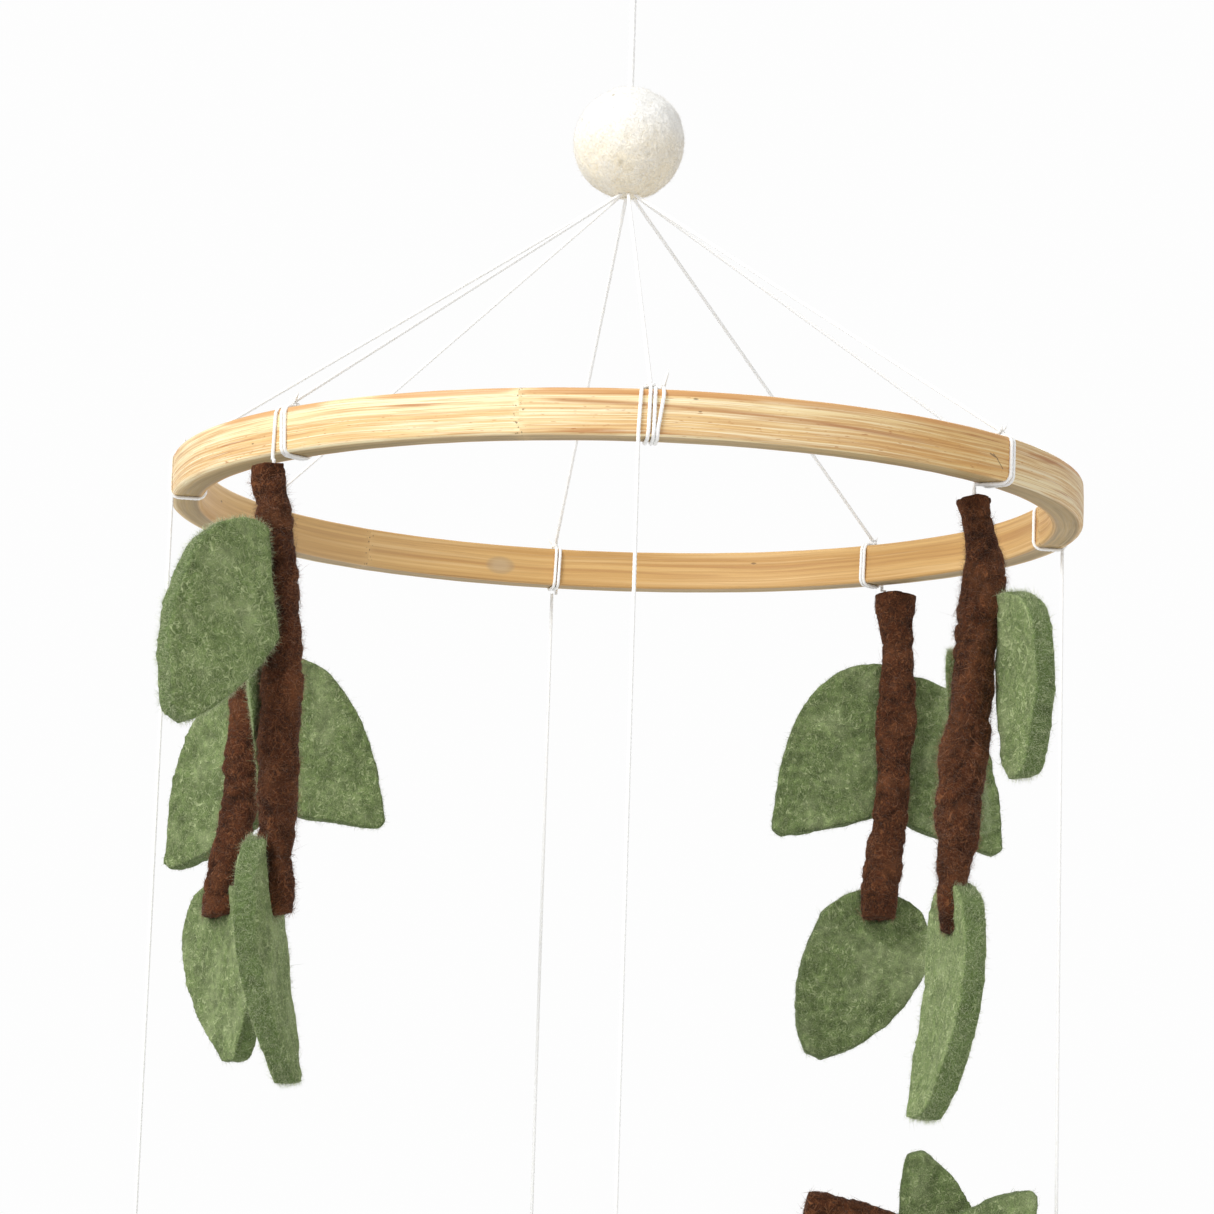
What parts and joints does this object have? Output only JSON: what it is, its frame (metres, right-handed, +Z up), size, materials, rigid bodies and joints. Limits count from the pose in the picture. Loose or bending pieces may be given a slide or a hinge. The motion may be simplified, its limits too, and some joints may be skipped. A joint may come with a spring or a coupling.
{
  "type": "crib mobile",
  "caption": "Hanging crib mobile: a bamboo hoop hung by cords from a felt ball, with felt leafy branches and sprigs on strings.",
  "frame": {"origin": "top of the hanging loop, where a hook bears, on the ball's vertical axis", "axes": "+Z up along the hanging cord; the -Y side of the hoop faces the picture's camera and +X is to its right"},
  "size_m": [0.3149, 0.269, 0.465],
  "materials": {
    "bamboo": "bare bamboo, satin",
    "white_felt": "needle-felted off-white wool",
    "green_felt": "thick sage green wool felt, fuzzy",
    "brown_felt": "needle-felted brown wool, fuzzy",
    "cotton_cord": "twisted off-white cotton cord"
  },
  "bodies": {
    "hanger": {"hanging_loop": "cotton_cord"},
    "hoop_frame": {"felt_ball": "white_felt", "core_knot": "cotton_cord", "bamboo_hoop": "bamboo", "support_cord_1": "cotton_cord", "support_cord_2": "cotton_cord", "support_cord_3": "cotton_cord", "support_cord_4": "cotton_cord", "support_cord_5": "cotton_cord", "support_cord_6": "cotton_cord", "support_cord_7": "cotton_cord", "support_cord_8": "cotton_cord", "lashing_1": "cotton_cord", "lashing_2": "cotton_cord", "lashing_3": "cotton_cord", "lashing_4": "cotton_cord", "lashing_5": "cotton_cord", "lashing_6": "cotton_cord", "lashing_7": "cotton_cord", "lashing_8": "cotton_cord"},
    "branch_1_string": {"branch_1_string": "cotton_cord"},
    "branch_1": {"branch_1_twig": "brown_felt", "branch_1_left_leaf": "green_felt", "branch_1_right_leaf": "green_felt", "branch_1_end_leaf": "green_felt"},
    "branch_2_string": {"branch_2_string": "cotton_cord"},
    "branch_2": {"branch_2_twig": "brown_felt", "branch_2_left_leaf": "green_felt", "branch_2_right_leaf": "green_felt", "branch_2_end_leaf": "green_felt"},
    "branch_3_string": {"branch_3_string": "cotton_cord"},
    "branch_3": {"branch_3_twig": "brown_felt", "branch_3_left_leaf": "green_felt", "branch_3_right_leaf": "green_felt", "branch_3_end_leaf": "green_felt"},
    "branch_4_string": {"branch_4_string": "cotton_cord"},
    "branch_4": {"branch_4_twig": "brown_felt", "branch_4_left_leaf": "green_felt", "branch_4_right_leaf": "green_felt", "branch_4_end_leaf": "green_felt"},
    "sprig_1_string": {"sprig_1_string": "cotton_cord"},
    "sprig_1": {"sprig_1_twig": "brown_felt", "sprig_1_upper_leaf": "green_felt", "sprig_1_middle_leaf": "green_felt", "sprig_1_end_leaf": "green_felt"},
    "sprig_2_string": {"sprig_2_string": "cotton_cord"},
    "sprig_2": {"sprig_2_twig": "brown_felt", "sprig_2_upper_leaf": "green_felt", "sprig_2_middle_leaf": "green_felt", "sprig_2_end_leaf": "green_felt"},
    "sprig_3_string": {"sprig_3_string": "cotton_cord"},
    "sprig_3": {"sprig_3_twig": "brown_felt", "sprig_3_upper_leaf": "green_felt", "sprig_3_middle_leaf": "green_felt", "sprig_3_end_leaf": "green_felt"},
    "sprig_4_string": {"sprig_4_string": "cotton_cord"},
    "sprig_4": {"sprig_4_twig": "brown_felt", "sprig_4_upper_leaf": "green_felt", "sprig_4_middle_leaf": "green_felt", "sprig_4_end_leaf": "green_felt"}
  },
  "joints": [
    {"name": "mobile_spin", "type": "hinge", "parent": "hanger", "child": "hoop_frame", "pos_m": [0, 0, -0.091], "axis": [0, 0, 1], "continuous": true},
    {"name": "branch_1_swing", "type": "hinge", "parent": "hoop_frame", "child": "branch_1_string", "pos_m": [-0.08223, -0.08572, -0.19695], "axis": [0.7133, -0.7009, 0], "range_deg": [-10, 10]},
    {"name": "branch_1_turn", "type": "hinge", "parent": "branch_1_string", "child": "branch_1", "pos_m": [-0.08223, -0.08572, -0.19895], "axis": [0, 0, 1], "continuous": true},
    {"name": "branch_2_swing", "type": "hinge", "parent": "hoop_frame", "child": "branch_2_string", "pos_m": [-0.10042, 0.05631, -0.19695], "axis": [-0.4787, -0.878, 0], "range_deg": [-10, 10]},
    {"name": "branch_2_turn", "type": "hinge", "parent": "branch_2_string", "child": "branch_2", "pos_m": [-0.10042, 0.05631, -0.19895], "axis": [0, 0, 1], "continuous": true},
    {"name": "branch_3_swing", "type": "hinge", "parent": "hoop_frame", "child": "branch_3_string", "pos_m": [0.07895, 0.09263, -0.19695], "axis": [-0.7694, 0.6388, 0], "range_deg": [-10, 10]},
    {"name": "branch_3_turn", "type": "hinge", "parent": "branch_3_string", "child": "branch_3", "pos_m": [0.07895, 0.09263, -0.19895], "axis": [0, 0, 1], "continuous": true},
    {"name": "branch_4_swing", "type": "hinge", "parent": "hoop_frame", "child": "branch_4_string", "pos_m": [0.08618, -0.07391, -0.19695], "axis": [0.6626, 0.749, 0], "range_deg": [-10, 10]},
    {"name": "branch_4_turn", "type": "hinge", "parent": "branch_4_string", "child": "branch_4", "pos_m": [0.08618, -0.07391, -0.19895], "axis": [0, 0, 1], "continuous": true},
    {"name": "sprig_1_swing", "type": "hinge", "parent": "hoop_frame", "child": "sprig_1_string", "pos_m": [0.00441, -0.12028, -0.19695], "axis": [0.9998, 0.0175, 0], "range_deg": [-4, 4]},
    {"name": "sprig_1_turn", "type": "hinge", "parent": "sprig_1_string", "child": "sprig_1", "pos_m": [0.00441, -0.12028, -0.37695], "axis": [0, 0, 1], "continuous": true},
    {"name": "sprig_2_swing", "type": "hinge", "parent": "hoop_frame", "child": "sprig_2_string", "pos_m": [0.12059, 0.01798, -0.19695], "axis": [-0.1478, 0.989, 0], "range_deg": [-4, 4]},
    {"name": "sprig_2_turn", "type": "hinge", "parent": "sprig_2_string", "child": "sprig_2", "pos_m": [0.12059, 0.01798, -0.37695], "axis": [0, 0, 1], "continuous": true},
    {"name": "sprig_3_swing", "type": "hinge", "parent": "hoop_frame", "child": "sprig_3_string", "pos_m": [-0.01968, 0.11888, -0.19695], "axis": [-0.9833, -0.1822, 0], "range_deg": [-4, 4]},
    {"name": "sprig_3_turn", "type": "hinge", "parent": "sprig_3_string", "child": "sprig_3", "pos_m": [-0.01968, 0.11888, -0.37695], "axis": [0, 0, 1], "continuous": true},
    {"name": "sprig_4_swing", "type": "hinge", "parent": "hoop_frame", "child": "sprig_4_string", "pos_m": [-0.11529, -0.02362, -0.19695], "axis": [0.1994, -0.9799, 0], "range_deg": [-4, 4]},
    {"name": "sprig_4_turn", "type": "hinge", "parent": "sprig_4_string", "child": "sprig_4", "pos_m": [-0.11529, -0.02362, -0.37695], "axis": [0, 0, 1], "continuous": true}
  ]
}
